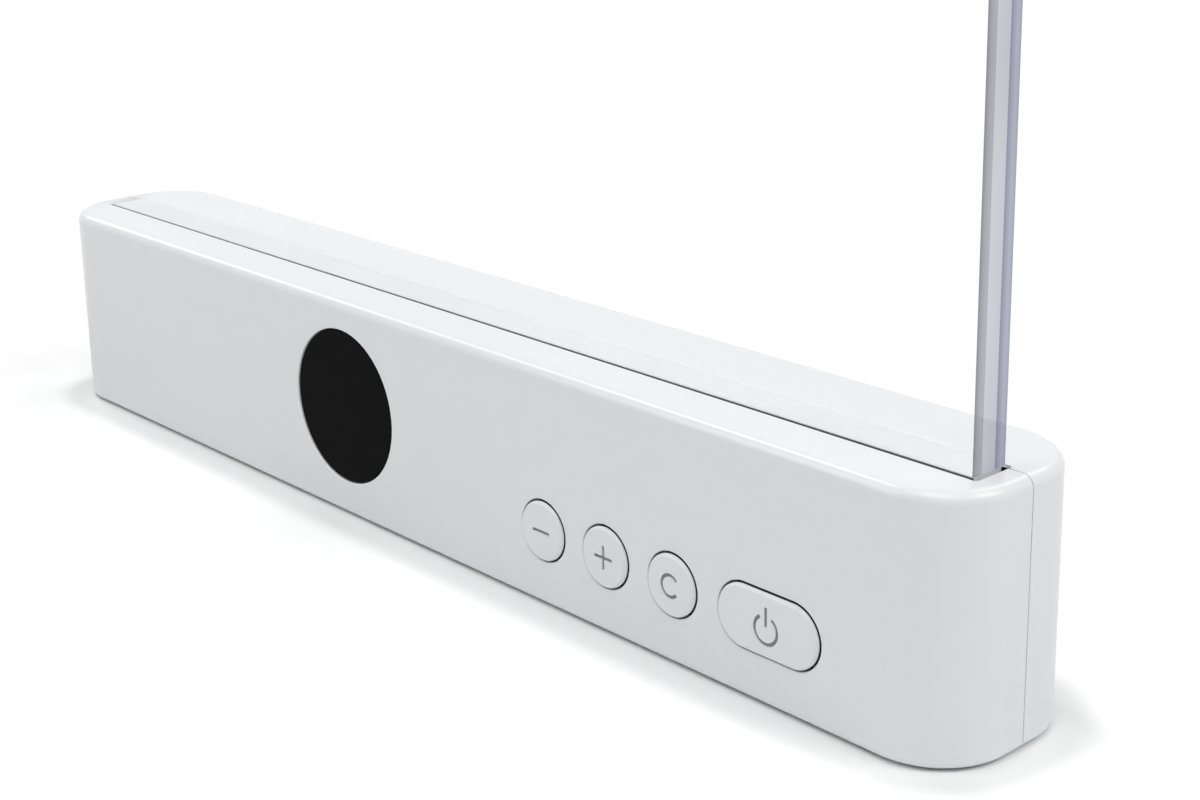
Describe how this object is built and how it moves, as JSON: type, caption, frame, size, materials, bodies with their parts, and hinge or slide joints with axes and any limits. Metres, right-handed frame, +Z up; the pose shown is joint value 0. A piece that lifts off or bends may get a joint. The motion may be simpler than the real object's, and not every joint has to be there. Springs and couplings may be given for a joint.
{
  "type": "reading light",
  "caption": "Reading light with a clear upright panel that stands in the slot of a slim rounded housing, with sprung keys and a round sensor window in front.",
  "frame": {"origin": "middle of the footprint, on the surface that the feet stand on", "axes": "+X along the housing towards the power key, -Y out of the front with the keys, +Z up"},
  "size_m": [0.272, 0.0366, 0.236],
  "materials": {
    "housing_white": "fine moulded texture, satin",
    "clear_acrylic": "polished clear sheet",
    "smoked_black": "polished",
    "black_silicone": "matt",
    "dark_anodised": "satin anodised",
    "circuit_board": "solder mask",
    "white_board": "white solder mask",
    "led_phosphor": "cast resin",
    "plated_steel": "zinc plated",
    "chip_black": "moulded epoxy",
    "cell_wrap": "shrink film",
    "nickel": "bright nickel",
    "red_insulation": "soft insulation",
    "white_insulation": "soft insulation"
  },
  "bodies": {
    "base": {"front_shell": "housing_white", "rear_shell": "housing_white", "housing_screws": "plated_steel", "rubber_feet": "black_silicone", "panel_channel": "dark_anodised", "grip_strip_front": "black_silicone", "grip_strip_rear": "black_silicone", "seat_pads": "black_silicone", "channel_screws": "plated_steel", "led_board": "white_board", "led_chips": "led_phosphor", "sensor_window": "smoked_black", "sensor_board": "circuit_board", "light_sensor": "chip_black", "remote_receiver": "chip_black", "control_board": "circuit_board", "tact_switches": "chip_black", "board_screws": "plated_steel", "main_board": "circuit_board", "board_header": "chip_black", "charging_inlet": "plated_steel", "inlet_tongue": "chip_black", "coil": "chip_black", "capacitors": "chip_black", "driver_chips": "chip_black", "left_battery_holder": "chip_black", "right_battery_holder": "chip_black", "left_cell": "cell_wrap", "right_cell": "cell_wrap", "contact_plates": "nickel", "cell_link": "red_insulation", "battery_leads": "red_insulation", "led_leads": "white_insulation", "sensor_leads": "white_insulation", "lead_connectors": "white_insulation"},
    "panel": {"light_panel": "clear_acrylic"},
    "minus_button": {"minus_key": "housing_white", "minus_plunger": "chip_black"},
    "plus_button": {"plus_key": "housing_white", "plus_plunger": "chip_black"},
    "colour_button": {"colour_key": "housing_white", "colour_plunger": "chip_black"},
    "power_button": {"power_key": "housing_white", "power_plunger": "chip_black"}
  },
  "joints": [
    {"name": "panel_lift", "type": "slide", "parent": "base", "child": "panel", "axis": [0, 0, 1], "range_m": [0, 0.03]},
    {"name": "minus_press", "type": "slide", "parent": "base", "child": "minus_button", "axis": [0, 1, 0], "range_m": [0, 0.0005], "stiffness_N_per_m": 800, "springref_m": -0.001},
    {"name": "plus_press", "type": "slide", "parent": "base", "child": "plus_button", "axis": [0, 1, 0], "range_m": [0, 0.0005], "stiffness_N_per_m": 800, "springref_m": -0.001},
    {"name": "colour_press", "type": "slide", "parent": "base", "child": "colour_button", "axis": [0, 1, 0], "range_m": [0, 0.0005], "stiffness_N_per_m": 800, "springref_m": -0.001},
    {"name": "power_press", "type": "slide", "parent": "base", "child": "power_button", "axis": [0, 1, 0], "range_m": [0, 0.0005], "stiffness_N_per_m": 800, "springref_m": -0.001}
  ]
}
